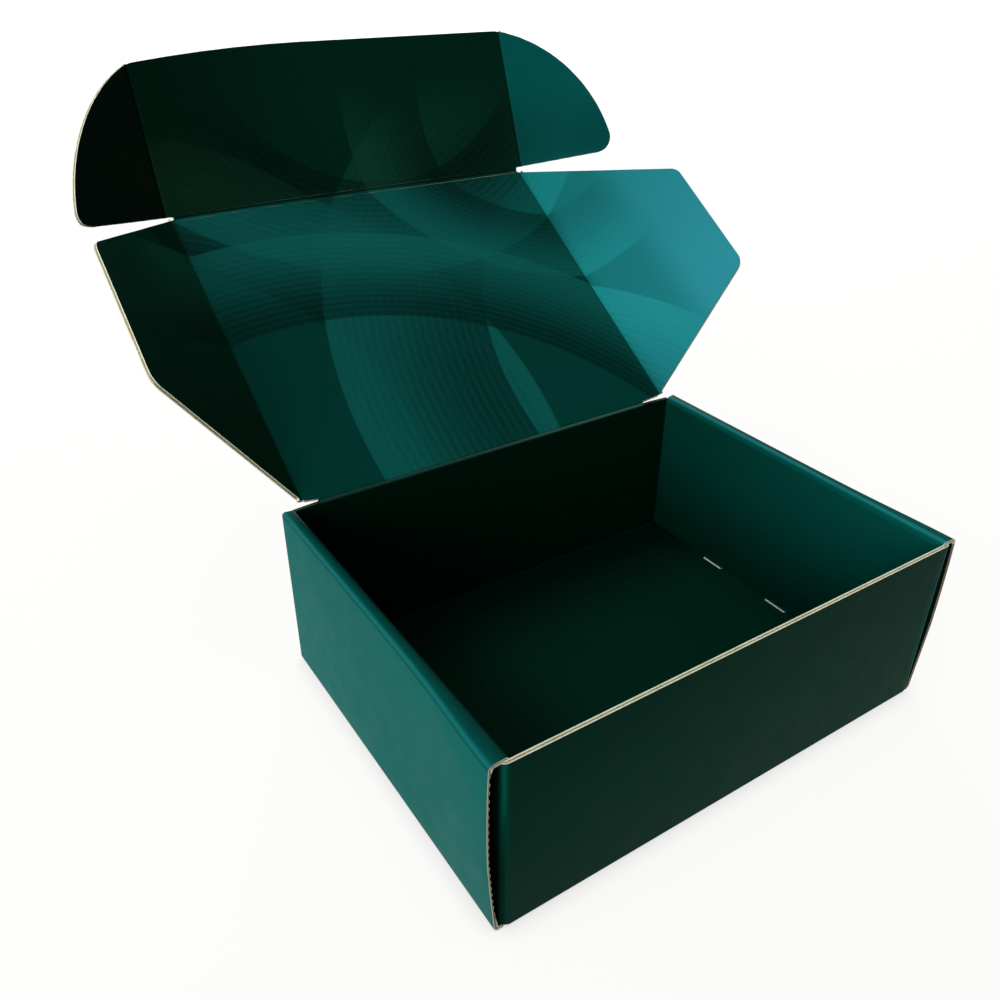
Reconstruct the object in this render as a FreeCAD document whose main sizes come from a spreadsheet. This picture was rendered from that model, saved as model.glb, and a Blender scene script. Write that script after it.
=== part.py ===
import FreeCAD, Part

import os

import Sketcher

# A roll-end mailer box with a tuck-in lid, cut and folded from one sheet of thin corrugated board.
# The tray stands on z = 0, centred on the origin, with its front wall towards -Y.
# The lid and its flaps are flat boards, each turning about the middle of its own crease.

doc = FreeCAD.newDocument("mailer_box")
spec = doc.addObject("Spreadsheet::Sheet", "Spec")

SIZES = [
    ("outer_width", "210"),
    ("outer_depth", "160"),
    ("rim_height", "76"),
    ("board", "1.6"),
    # side walls: an outer panel, a flat rolled top and an inner panel
    ("roll_width", "5.7"),
    ("fold_outer_radius", "1.7"),
    ("fold_inner_radius", "0.3"),
    ("side_setback", "1"),
    ("ply_clearance", "0.25"),
    ("front_drop", "1"),
    # vertical bends and the corner flaps they lead to
    ("bend_radius", "2.6"),
    ("bend_inner_cut", "0.8"),
    ("corner_flap_length", "64"),
    # locking tabs on the inner side panels
    ("tab_length", "12"),
    ("tab_rear_centre", "32.5"),
    ("tab_front_centre", "-9.5"),
    ("slot_clearance", "0.5"),
    # creases between moving boards
    ("crease_clearance", "0.25"),
    ("hinge_rise", "0.8"),
    ("hinge_end_cut", "12"),
    ("layer_clearance", "0.3"),
    ("tuck_clearance", "0.4"),
    # outlines of the lid's flaps
    ("side_flap_reach", "69.5"),
    ("side_flap_rear_slope", "37"),
    ("side_flap_front_slope", "52"),
    ("side_flap_round", "7"),
    ("side_flap_end_gap", "1.5"),
    ("tuck_reach", "72"),
    ("ear_root_gap", "2"),
    ("ear_width", "53.4"),
    ("ear_arc_inset", "26.8"),
    ("ear_round", "8"),
    # angles as photographed, from closed for the lid and from flat for each flap
    ("lid_angle", "146.6"),
    ("tuck_angle", "36.4"),
    ("side_right_angle", "39"),
    ("side_left_angle", "47.5"),
    ("ear_right_angle", "25"),
    ("ear_left_angle", "37"),
    # worked out from the sizes above
    ("half_width", "=outer_width / 2"),
    ("half_depth", "=outer_depth / 2"),
    ("half_board", "=board / 2"),
    ("crease_gap", "=half_board + crease_clearance"),
    ("front_height", "=rim_height - front_drop"),
    ("ply_face", "=half_width - board - ply_clearance"),
    ("bend_start", "=ply_face - bend_radius"),
    ("floor_gap", "=board + ply_clearance"),
    ("under_roll", "=rim_height - board - ply_clearance"),
    ("inner_face", "=half_width - roll_width"),
    ("cavity_face", "=inner_face + board"),
    ("hinge_y", "=half_depth - half_board"),
    ("hinge_z", "=rim_height + hinge_rise"),
    ("hinge_end", "=bend_start - hinge_end_cut"),
    ("back_height", "=hinge_z - crease_gap"),
    ("ear_axis", "=inner_face - layer_clearance - half_board"),
    ("side_axis", "=ear_axis - layer_clearance - board"),
    ("lid_length", "=hinge_y + half_depth - board - tuck_clearance - half_board"),
    ("lid_half_width", "=side_axis - crease_gap"),
    ("tuck_half_width", "=ear_axis - crease_gap"),
    ("side_flap_front", "=lid_length - side_flap_end_gap"),
]
for row, (alias, value) in enumerate(SIZES, 1):
    spec.set(f"A{row}", alias)
    spec.set(f"B{row}", value)
    spec.setAlias(f"B{row}", alias)
doc.recompute()


def bind(expression):
    """The same expression, written for another object: each alias gets the sheet's name."""
    words, word = [], ""
    for letter in expression + " ":
        if letter.isalnum() or letter == "_":
            word += letter
            continue
        if word:
            words.append("Spec." + word if word[0].isalpha() else word)
            word = ""
        words.append(letter)
    return "".join(words).strip()


worked = doc.addObject("Spreadsheet::Sheet", "Worked")


def size(expression):
    """The value of an expression in the sheet's aliases, worked out in a sheet that nothing depends on."""
    worked.set("A1", "=" + bind(expression))
    worked.recompute()
    return float(worked.get("A1"))


def plane(body, role):
    return next(f for f in body.Origin.OriginFeatures if f.Role == role)


def pin(sketch, geometry, end, x, y):
    """Holds a point of the sketch at x, y, each an expression in the sheet's aliases."""
    for kind, still, expression in (("DistanceX", "Vertical", x), ("DistanceY", "Horizontal", y)):
        value = size(expression)
        if expression == "0":
            sketch.addConstraint(Sketcher.Constraint(still, -1, 1, geometry, end))
        elif value > 0:
            index = sketch.addConstraint(Sketcher.Constraint(kind, -1, 1, geometry, end, value))
            sketch.setExpression(f"Constraints[{index}]", bind(expression))
        else:
            index = sketch.addConstraint(Sketcher.Constraint(kind, geometry, end, -1, 1, -value))
            sketch.setExpression(f"Constraints[{index}]", bind(f"-({expression})"))


def outline(body, name, role, corners):
    """A closed polygon on one of the body's own planes, each corner driven by the sheet."""
    sketch = body.newObject("Sketcher::SketchObject", name)
    sketch.AttachmentSupport = [(plane(body, role), "")]
    sketch.MapMode = "FlatFace"
    points = [FreeCAD.Vector(size(x), size(y), 0) for x, y in corners]
    for i, point in enumerate(points):
        sketch.addGeometry(Part.LineSegment(point, points[(i + 1) % len(points)]), False)
    for i in range(len(points)):
        sketch.addConstraint(Sketcher.Constraint("Coincident", i, 2, (i + 1) % len(points), 1))
    for i, (x, y) in enumerate(corners):
        pin(sketch, i, 1, x, y)
    return sketch


def slab(body, name, sketch, length, both_ways=True, kind="PartDesign::Pad"):
    feature = body.newObject(kind, name)
    feature.Profile = sketch
    feature.setExpression("Length", bind(length))
    if both_ways:
        feature.Midplane = True
    doc.recompute()
    return feature


def rod(body, name, role, start, length):
    """The rounded edge of a board, centred on its crease and square to one of the body's own planes."""
    feature = body.newObject("PartDesign::AdditiveCylinder", name)
    feature.AttachmentSupport = [(plane(body, role), "")]
    feature.MapMode = "FlatFace"
    feature.setExpression("AttachmentOffset.Base.z", bind(start))
    feature.setExpression("Radius", "Spec.half_board")
    feature.setExpression("Height", bind(length))
    doc.recompute()
    return feature


def long_edges(shape, axis, places):
    """The names of the straight edges along one axis that pass through the given places."""
    found = []
    others = [i for i in range(3) if i != axis]
    for number, edge in enumerate(shape.Edges, 1):
        a, b = edge.Vertexes[0].Point, edge.Vertexes[-1].Point
        if any(abs(a[i] - b[i]) > 1e-4 for i in others) or abs(a[axis] - b[axis]) < 1e-3:
            continue
        if any(all(abs(a[i] - place[k]) < 1e-3 for k, i in enumerate(others)) for place in places):
            found.append(f"Edge{number}")
    return found


def round_edges(body, name, base, axis, places, radius):
    feature = body.newObject("PartDesign::Fillet", name)
    feature.Base = (base, long_edges(base.Shape, axis, places))
    feature.setExpression("Radius", bind(radius))
    doc.recompute()
    return feature


def place(body, steps):
    """Puts a body in place by a chain of shifts and turns, all driven by the sheet."""
    chain = []
    for shift, axis, angle in steps:
        x, y, z = (bind(v) for v in shift)
        turn = f"rotation(vector({axis}); {bind(angle)})"
        chain.append(f"placement(vector({x}; {y}; {z}); {turn})")
    body.setExpression("Placement", " * ".join(chain))


def mirrored(corners):
    return [(f"-({x})", y) for x, y in corners]


def turned(corners):
    return [(x, f"-({y})") for x, y in corners]


def several(body, name, role, outlines, height="0"):
    """Several closed polygons in one sketch, lifted off the body's own plane by a height."""
    sketch = outline(body, name, role, outlines[0])
    for corners in outlines[1:]:
        first = sketch.GeometryCount
        points = [FreeCAD.Vector(size(x), size(y), 0) for x, y in corners]
        count = len(points)
        for i, point in enumerate(points):
            sketch.addGeometry(Part.LineSegment(point, points[(i + 1) % count]), False)
        for i in range(count):
            following = first + (i + 1) % count
            sketch.addConstraint(Sketcher.Constraint("Coincident", first + i, 2, following, 1))
        for i, (x, y) in enumerate(corners):
            pin(sketch, first + i, 1, x, y)
    if height != "0":
        sketch.setExpression("AttachmentOffset.Base.z", bind(height))
    return sketch


def all_corners(corners):
    """One outline at each of the tray's four corners, given for the one at +X, +Y."""
    return [corners, mirrored(corners), turned(corners), mirrored(turned(corners))]


# The tray: floor, front and back walls, double side walls and the corner flaps inside them.
tray = doc.addObject("PartDesign::Body", "tray")
ends = outline(
    tray,
    "floor_and_end_walls_outline",
    "YZ_Plane",
    [
        ("-half_depth", "0"),
        ("half_depth", "0"),
        ("half_depth", "back_height"),
        ("half_depth - board", "back_height"),
        ("half_depth - board", "board"),
        ("-(half_depth - board)", "board"),
        ("-(half_depth - board)", "front_height"),
        ("-half_depth", "front_height"),
    ],
)
ends = slab(tray, "floor_and_end_walls", ends, "bend_start * 2")
y_out, y_in = size("half_depth"), size("half_depth - board")
ends = round_edges(tray, "end_wall_folds", ends, 0, [(y_out, 0), (-y_out, 0)], "fold_outer_radius")
fold_in = [(y_in, size("board")), (-y_in, size("board"))]
ends = round_edges(tray, "end_wall_folds_inside", ends, 0, fold_in, "fold_inner_radius")

side = [
    ("bend_start - 1", "0"),
    ("half_width", "0"),
    ("half_width", "rim_height"),
    ("inner_face", "rim_height"),
    ("inner_face", "floor_gap"),
    ("cavity_face", "floor_gap"),
    ("cavity_face", "rim_height - board"),
    ("half_width - board", "rim_height - board"),
    ("half_width - board", "board"),
    ("bend_start - 1", "board"),
]
sides = several(tray, "side_walls_outline", "XZ_Plane", [side, mirrored(side)])
sides = slab(tray, "side_walls", sides, "(half_depth - side_setback) * 2")
rim, x_out, x_in = size("rim_height"), size("half_width"), size("inner_face")
outer_folds = [(s * x, z) for s in (1, -1) for x, z in ((x_out, 0), (x_out, rim), (x_in, rim))]
sides = round_edges(tray, "side_wall_folds", sides, 1, outer_folds, "fold_outer_radius")
x_ply, x_cavity, z_roof = size("half_width - board"), size("cavity_face"), size("rim_height - board")
inner_folds = [
    (s * x, z) for s in (1, -1) for x, z in ((x_ply, size("board")), (x_ply, z_roof), (x_cavity, z_roof))
]
sides = round_edges(tray, "side_wall_folds_inside", sides, 1, inner_folds, "fold_inner_radius")

# The rolled top and the inner panel end short of the front and back walls, cut on a slant.
end_cut = [
    ("inner_face - board", "half_depth"),
    ("half_width - board", "half_depth"),
    ("half_width - board", "half_depth - side_setback - ply_clearance"),
    ("inner_face - board", "half_depth - board - tuck_clearance"),
]
end_cut = several(tray, "roll_ends_outline", "XY_Plane", all_corners(end_cut), "floor_gap")
end_cut = slab(tray, "roll_ends", end_cut, "rim_height", False, "PartDesign::Pocket")
end_cut.Reversed = True
doc.recompute()

# The corner flaps carry on from the front and back walls round an upright bend.
flap = [
    ("inner_face - board * 2", "half_depth"),
    ("ply_face", "half_depth"),
    ("ply_face", "half_depth - corner_flap_length"),
    ("ply_face - board", "half_depth - corner_flap_length"),
    ("ply_face - board", "half_depth - board - bend_inner_cut"),
    ("ply_face - board - bend_inner_cut", "half_depth - board"),
    ("inner_face - board * 2", "half_depth - board"),
]
flaps = several(tray, "corner_flaps_outline", "XY_Plane", all_corners(flap), "floor_gap")
flaps = slab(tray, "corner_flaps", flaps, "under_roll - floor_gap", False)
x_face = size("ply_face")
bends = [(s * x_face, q * y_out) for s in (1, -1) for q in (1, -1)]
flaps = round_edges(tray, "corner_bends", flaps, 2, bends, "bend_radius")

# The back wall's top edge slopes down beyond both ends of the lid's crease.
slope = [
    ("hinge_end", "back_height"),
    ("bend_start + 0.01", "under_roll"),
    ("bend_start + 0.01", "rim_height"),
    ("hinge_end", "rim_height"),
]
slope = several(tray, "hinge_ends_outline", "XZ_Plane", [slope, mirrored(slope)])
slope.setExpression("AttachmentOffset.Base.z", bind("-half_depth - board"))
slope = slab(tray, "hinge_ends", slope, "board * 3", False, "PartDesign::Pocket")
slope.Reversed = True
doc.recompute()

# Two tabs under each inner panel stand in slots through the floor.
slots, tabs = [], []
for centre in ("tab_rear_centre", "tab_front_centre"):
    slots.append(
        [
            ("inner_face - slot_clearance", f"{centre} - tab_length / 2 - slot_clearance"),
            ("cavity_face + slot_clearance", f"{centre} - tab_length / 2 - slot_clearance"),
            ("cavity_face + slot_clearance", f"{centre} + tab_length / 2 + slot_clearance"),
            ("inner_face - slot_clearance", f"{centre} + tab_length / 2 + slot_clearance"),
        ]
    )
    tabs.append(
        [
            ("inner_face", f"{centre} - tab_length / 2"),
            ("cavity_face", f"{centre} - tab_length / 2"),
            ("cavity_face", f"{centre} + tab_length / 2"),
            ("inner_face", f"{centre} + tab_length / 2"),
        ]
    )
slots = several(tray, "slots_outline", "XY_Plane", slots + [mirrored(s) for s in slots])
slots = slab(tray, "slots", slots, "board", False, "PartDesign::Pocket")
slots.Reversed = True
doc.recompute()
tabs = several(tray, "tabs_outline", "XY_Plane", tabs + [mirrored(t) for t in tabs], "ply_clearance")
tabs = slab(tray, "tabs", tabs, "floor_gap", False)
tray.Tip = tabs


def lid_body(name, corners, role, start, length):
    """A flat board centred on its crease plane, with a rounded edge along the crease."""
    body = doc.addObject("PartDesign::Body", name)
    board = outline(body, name + "_outline", "XY_Plane", corners)
    board = slab(body, name + "_board", board, "board")
    rod(body, name + "_crease", role, start, length)
    return body


lid_panel = lid_body(
    "lid_panel",
    [
        ("-lid_half_width", "0"),
        ("lid_half_width", "0"),
        ("lid_half_width", "-(lid_length - crease_gap)"),
        ("-lid_half_width", "-(lid_length - crease_gap)"),
    ],
    "YZ_Plane",
    "-lid_half_width",
    "lid_half_width * 2",
)
tuck_flap = lid_body(
    "tuck_flap",
    [
        ("-lid_half_width", "0"),
        ("lid_half_width", "0"),
        ("tuck_half_width", "-ear_root_gap"),
        ("tuck_half_width", "-tuck_reach"),
        ("-tuck_half_width", "-tuck_reach"),
        ("-tuck_half_width", "-ear_root_gap"),
    ],
    "YZ_Plane",
    "-lid_half_width",
    "lid_half_width * 2",
)
side_flap = [
    ("0", "-side_flap_end_gap"),
    ("side_flap_reach", "-(side_flap_end_gap + side_flap_rear_slope)"),
    ("side_flap_reach", "-(side_flap_front - side_flap_front_slope)"),
    ("0", "-side_flap_front"),
]


def side_flap_body(name, corners, sign):
    body = lid_body(name, corners, "XZ_Plane", "side_flap_end_gap", "side_flap_front - side_flap_end_gap")
    reach = sign * size("side_flap_reach")
    rear = -size("side_flap_end_gap + side_flap_rear_slope")
    front = -size("side_flap_front - side_flap_front_slope")
    round_edges(body, name + "_corners", body.Tip, 2, [(reach, rear), (reach, front)], "side_flap_round")
    return body


side_flap_right = side_flap_body("side_flap_right", side_flap, 1)
side_flap_left = side_flap_body("side_flap_left", mirrored(side_flap), -1)


def ear_body(name, sign):
    """A quarter-round ear: one long arc from the tuck flap's free corner to the ear's straight root edge."""
    body = doc.addObject("PartDesign::Body", name)
    sketch = body.newObject("Sketcher::SketchObject", name + "_outline")
    sketch.AttachmentSupport = [(plane(body, "XY_Plane"), "")]
    sketch.MapMode = "FlatFace"
    width, inset = size("ear_width"), size("ear_arc_inset")
    root, reach = size("ear_root_gap"), size("tuck_reach")
    # the arc's middle is as far from the ear's corner as from the free end of its crease
    middle_y = ((width + inset) ** 2 - inset**2 + root**2 - reach**2) / (reach - root) / 2
    radius = (inset**2 + (middle_y + reach) ** 2) ** 0.5
    middle = FreeCAD.Vector(-sign * inset, middle_y, 0)
    corner = FreeCAD.Vector(sign * width, -root, 0)
    end = FreeCAD.Vector(0, -reach, 0)
    crown = (corner + end) / 2 - middle
    crown = middle + crown.normalize() * radius
    first, last = (end, corner) if sign > 0 else (corner, end)
    sketch.addGeometry(Part.LineSegment(FreeCAD.Vector(0, -root, 0), corner), False)
    sketch.addGeometry(Part.Arc(first, crown, last), False)
    sketch.addGeometry(Part.LineSegment(end, FreeCAD.Vector(0, -root, 0)), False)
    corner_end, far_end = (2, 1) if sign > 0 else (1, 2)
    sketch.addConstraint(Sketcher.Constraint("Coincident", 0, 2, 1, corner_end))
    sketch.addConstraint(Sketcher.Constraint("Coincident", 1, far_end, 2, 1))
    sketch.addConstraint(Sketcher.Constraint("Coincident", 2, 2, 0, 1))
    pin(sketch, 0, 1, "0", "-ear_root_gap")
    pin(sketch, 0, 2, "ear_width" if sign > 0 else "-ear_width", "-ear_root_gap")
    pin(sketch, 2, 1, "0", "-tuck_reach")
    order = (1, 3, -1, 1) if sign > 0 else (-1, 1, 1, 3)
    held = sketch.addConstraint(Sketcher.Constraint("DistanceX", *order, inset))
    sketch.setExpression(f"Constraints[{held}]", "Spec.ear_arc_inset")
    slab(body, name + "_board", sketch, "board")
    rod(body, name + "_crease", "XZ_Plane", "ear_root_gap", "tuck_reach - ear_root_gap")
    round_edges(body, name + "_corner", body.Tip, 2, [(sign * width, -root)], "ear_round")
    return body


tuck_ear_right = ear_body("tuck_ear_right", 1)
tuck_ear_left = ear_body("tuck_ear_left", -1)

# Where each crease is, and how far each board is folded.
lid_place = [(("0", "hinge_y", "hinge_z"), "1; 0; 0", "-lid_angle")]
tuck_place = lid_place + [(("0", "-lid_length", "0"), "1; 0; 0", "tuck_angle")]
place(lid_panel, lid_place)
place(tuck_flap, tuck_place)
place(side_flap_right, lid_place + [(("side_axis", "0", "0"), "0; 1; 0", "side_right_angle")])
place(side_flap_left, lid_place + [(("-side_axis", "0", "0"), "0; 1; 0", "-side_left_angle")])
place(tuck_ear_right, tuck_place + [(("ear_axis", "0", "0"), "0; 1; 0", "ear_right_angle")])
place(tuck_ear_left, tuck_place + [(("-ear_axis", "0", "0"), "0; 1; 0", "-ear_left_angle")])
doc.removeObject("Worked")
doc.recompute()

NODES = [
    tray,
    lid_panel,
    side_flap_right,
    side_flap_left,
    tuck_flap,
    tuck_ear_right,
    tuck_ear_left,
]
for thing in doc.Objects:
    if "Invalid" in thing.State or "Error" in thing.State:
        raise RuntimeError(f"{thing.Name} is {thing.State}")
for node in NODES:
    if node.Shape.isNull() or not node.Shape.isValid():
        raise RuntimeError(f"{node.Name} has no valid shape")
    if len(node.Shape.Solids) != 1:
        raise RuntimeError(f"{node.Name} has {len(node.Shape.Solids)} solids")
os.makedirs("parts", exist_ok=True)
for node in NODES:
    node.Label = node.Name
    node.Shape.exportStep(f"parts/{node.Name}.step")
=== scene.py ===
import math

import bmesh
import bpy
import numpy as np
from mathutils import Matrix, Vector


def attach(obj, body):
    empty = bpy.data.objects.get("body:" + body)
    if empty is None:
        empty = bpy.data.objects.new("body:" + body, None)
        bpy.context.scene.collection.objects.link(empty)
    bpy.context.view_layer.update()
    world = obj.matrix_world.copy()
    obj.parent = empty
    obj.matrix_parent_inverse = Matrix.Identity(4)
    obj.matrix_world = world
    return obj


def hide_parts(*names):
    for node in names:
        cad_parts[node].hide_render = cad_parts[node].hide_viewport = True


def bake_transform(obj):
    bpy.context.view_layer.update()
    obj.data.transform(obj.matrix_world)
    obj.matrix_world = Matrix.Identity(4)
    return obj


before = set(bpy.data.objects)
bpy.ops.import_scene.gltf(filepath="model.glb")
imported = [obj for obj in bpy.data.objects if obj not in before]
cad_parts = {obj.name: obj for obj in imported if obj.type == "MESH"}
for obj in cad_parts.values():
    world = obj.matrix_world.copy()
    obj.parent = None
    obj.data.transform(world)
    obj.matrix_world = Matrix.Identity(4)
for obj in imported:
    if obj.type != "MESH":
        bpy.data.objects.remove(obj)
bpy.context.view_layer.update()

# Shapes are measured in millimetres and scaled to metres when a mesh is made.
# The camera, the print's places on the flat sheet, the floor and the lamps are in metres.
MM = 0.001

# ---------------------------------------------------------------- camera
# Fitted to the box's corners in the photograph, with the lens axis through the picture's centre.
CAMERA_AT = Vector((-0.20428, -0.23354, 0.27399))
CAMERA_RIGHT = Vector((0.83867, -0.54464, 0.00333)).normalized()
CAMERA_FORWARD = Vector((0.46717, 0.71622, -0.51844)).normalized()
SENSOR, FOCAL_LENGTH = 36, 33.456

camera = bpy.data.objects.new("camera", bpy.data.cameras.new("camera"))
bpy.context.scene.collection.objects.link(camera)
camera_up = CAMERA_RIGHT.cross(CAMERA_FORWARD)
turn = Matrix((CAMERA_RIGHT, camera_up, -CAMERA_FORWARD)).transposed()
camera.matrix_world = Matrix.Translation(CAMERA_AT) @ turn.to_4x4()
camera.data.sensor_width = SENSOR
camera.data.lens = FOCAL_LENGTH
camera.data.clip_start = 0.01
camera.data.clip_end = 100
bpy.context.scene.camera = camera

# ---------------------------------------------------------------- sizes, as in the solids
THICK = 1.6
HALF = THICK / 2

# The tray
HALF_WIDTH, HALF_DEPTH, RIM = 105.0, 80.0, 76.0
FRONT_TOP, BACK_TOP = 75.0, 75.75
# Across: the inner side panels' outer face, and where the front and back walls end.
INNER_FACE, BEND_START = 99.3, 100.2
# Heights that clear the rolled tops' underside, the floor and the table.
UNDER_ROLL, FLOOR_GAP, TAB_FOOT = 74.15, 1.85, 0.25
PLY_GAP = 0.25
# Along: where the outer side panels end. The rolled tops end at ROLL_END where they are ROLL_FROM
# across, and slope out from there.
SETBACK = 79.0
ROLL_FROM, ROLL_END, ROLL_SLOPE = 97.7, 78.0, 0.75 / 5.7
CORNER_FLAP = 64.0
TABS = (32.5, -9.5)
TAB_HALF, SLOT_GAP = 6.0, 0.5
SLOT_HALF = TAB_HALF + SLOT_GAP

# The lid and its flaps
HINGE_Y, HINGE_Z, HINGE_END = 79.2, 76.8, 88.55
LID_LENGTH, LID_ANGLE = 156.4, 146.6
SIDE_AXIS, EAR_AXIS = 96.3, 98.2
SIDE_REACH, SIDE_REAR, SIDE_FRONT, SIDE_ROUND = 69.5, 37.0, 52.0, 7.0
END_GAP = 1.5
TUCK_REACH, TUCK_ANGLE = 72.0, 36.4
EAR_ROOT, EAR_WIDTH, EAR_INSET, EAR_ROUND = 2.0, 53.4, 26.8, 8.0
SIDE_ANGLE = {1: 39.0, -1: 47.5}
EAR_ANGLE = {1: 25.0, -1: 37.0}

# ---------------------------------------------------------------- what the solids leave out
# The board is two liners and a fluted medium. Flutes run from the front wall to the tuck flap.
LINER, MEDIUM, PITCH = 0.42, 0.24, 3.3
FLUTE_POINTS = 10
SWING = HALF - LINER - MEDIUM / 2 - 0.03
# How far a cut edge wanders.
RAGGED = 0.05
# The front, floor and back have their flutes lengthwise, from here to here across.
FLUTES_ACROSS = (-102, 102)
# A front corner flap comes down from the wall's height to clear the roll: by distance from its fold.
CORNER_DROP = (0, 2.2, 3.4)
# Bending radii at the middle of the board: at most folds, at the rolls' inner fold, at the corners.
BEND, ROLL_BEND, CORNER_BEND = 0.9, 1.3, 2.1
# Half the width of the strip that bends at a moving crease.
CREASE = 1.6
# The lid's strip ends short of the back wall, whose top edge slopes down beyond it.
CREASE_LEFT, CREASE_RIGHT, LID_LAP = -89.05, 83.5, 0.3
WALL_TAPER = 0.6
# How far from the hinge the lid's rear edge lies: just beyond the strip's ends, and at its corners.
REAR_LOW, REAR_END = 0.05, 0.9
# The ears' strips stop just short of the free edge, which curves away there.
EAR_CREASE_END = TUCK_REACH - 0.25

# The outer side panels' free front edges have sprung outwards: by height, and how deep that reaches.
BOW = {
    1: ((0, 12, 35, 60, 76), (0, 1.2, 3.2, 2.9, 1.8)),
    -1: ((0, 9, 18, 27, 36, 54, 63, 76), (0, 0.8, 1.65, 2.2, 2.8, 2.75, 2.6, 2.1)),
}
BOW_DEPTH = 34.0
# The bow fades out between the rolled top's middle and the outer panel.
BOW_FROM, BOW_FADE = 101.0, 2.5
# On the left one the inner liner is torn back, which shows the flutes' teeth.
PEEL = {1: 0.0, -1: 4.0}
# The lid is slightly curved: how high, and how wide from its middle.
LID_CURVE, LID_CURVE_HALF = 0.5, 95.0
# The lid's free end and the tuck flap sag towards their left-hand end: from where, over what
# length it grows, where it stops growing, and how much by place along the flat sheet.
SAG_FROM, SAG_OVER, SAG_MOST = 10.0, 88.0, 1.5
SAG_PLACES = (100, LID_LENGTH, LID_LENGTH + 3, LID_LENGTH + TUCK_REACH)
SAG_AMOUNTS = (0, 0.9, 1.7, 5.3)
# The left ear hangs a little towards the lid: how much for each millimetre across.
EAR_SWING = {1: 0.0, -1: 0.05}

# Where each part lies on the flat sheet: the lid starts at 0 along and is centred on 0 across.
TRAY_ALONG = -700
SIDE_ACROSS, CORNER_ACROSS, SIDE_ALONG = 300, 200, -500

# The board's four materials, in the order of the pieces' material slots.
OUTSIDE, INSIDE, RAW, FLUTE = range(4)


# ---------------------------------------------------------------- meshes
class Skin:
    """Collects grids of points, each with its place on the flat sheet, and makes one mesh of them."""

    def __init__(self):
        self.points, self.sheet, self.faces, self.kinds = [], [], [], []
        self.count = 0

    def grid(self, points, sheet, kind):
        rows, columns = points.shape[:2]
        i, j = np.meshgrid(np.arange(rows - 1), np.arange(columns - 1), indexing="ij")
        first = self.count + i * columns + j
        corners = np.stack([first, first + 1, first + columns + 1, first + columns], -1)
        self.points.append(points.reshape(-1, 3))
        self.sheet.append(sheet.reshape(-1, 2))
        self.faces.append(corners.reshape(-1, 4))
        self.kinds.append(np.full((rows - 1) * (columns - 1), kind))
        self.count += rows * columns

    def plate(self, low, high, sheet, kinds):
        """A closed plate between two grids: kinds of its low face, its high face and its edges."""
        self.grid(low, sheet, kinds[0])
        self.grid(high, sheet, kinds[1])
        for cut in (np.s_[0, :], np.s_[-1, :], np.s_[:, 0], np.s_[:, -1]):
            self.grid(np.stack([low[cut], high[cut]]), np.stack([sheet[cut], sheet[cut]]), kinds[2])

    def make(self, name):
        points = np.concatenate(self.points) * MM
        faces = np.concatenate(self.faces)
        mesh = bpy.data.meshes.new(name)
        mesh.from_pydata(points.tolist(), [], faces.tolist())
        mesh.polygons.foreach_set("material_index", np.concatenate(self.kinds).astype(np.int32))
        layer = mesh.uv_layers.new(name="sheet")
        layer.data.foreach_set("uv", (np.concatenate(self.sheet) * MM)[faces.ravel()].ravel())
        work = bmesh.new()
        work.from_mesh(mesh)
        bmesh.ops.remove_doubles(work, verts=work.verts, dist=2e-6)
        bmesh.ops.recalc_face_normals(work, faces=work.faces)
        for face in work.faces:
            face.smooth = True
        work.to_mesh(mesh)
        work.free()
        mesh.set_sharp_from_angle(angle=math.radians(40))
        thing = bpy.data.objects.new(name, mesh)
        bpy.context.scene.collection.objects.link(thing)
        return thing


def spread(low, high, count):
    """Rows of values that run from low to high, one row for each pair of limits."""
    share = np.linspace(0, 1, count)[None, :]
    return low[:, None] + (high - low)[:, None] * share


def finer(steps, gap):
    """The same steps, with more between any two that are further apart than gap."""
    found = [steps[0]]
    for a, b in zip(steps[:-1], steps[1:]):
        count = max(1, int(math.ceil((b - a) / gap)))
        found.extend(a + (b - a) * (np.arange(count) + 1) / count)
    return np.array(found)


def ragged(along, phase):
    """How far a die-cut edge wanders inwards, never outwards."""
    a = np.sin(along * 0.83 + phase) + np.sin(along * 1.97 + 2.1 * phase) * 0.6
    return RAGGED * (1.6 + a)


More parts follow.
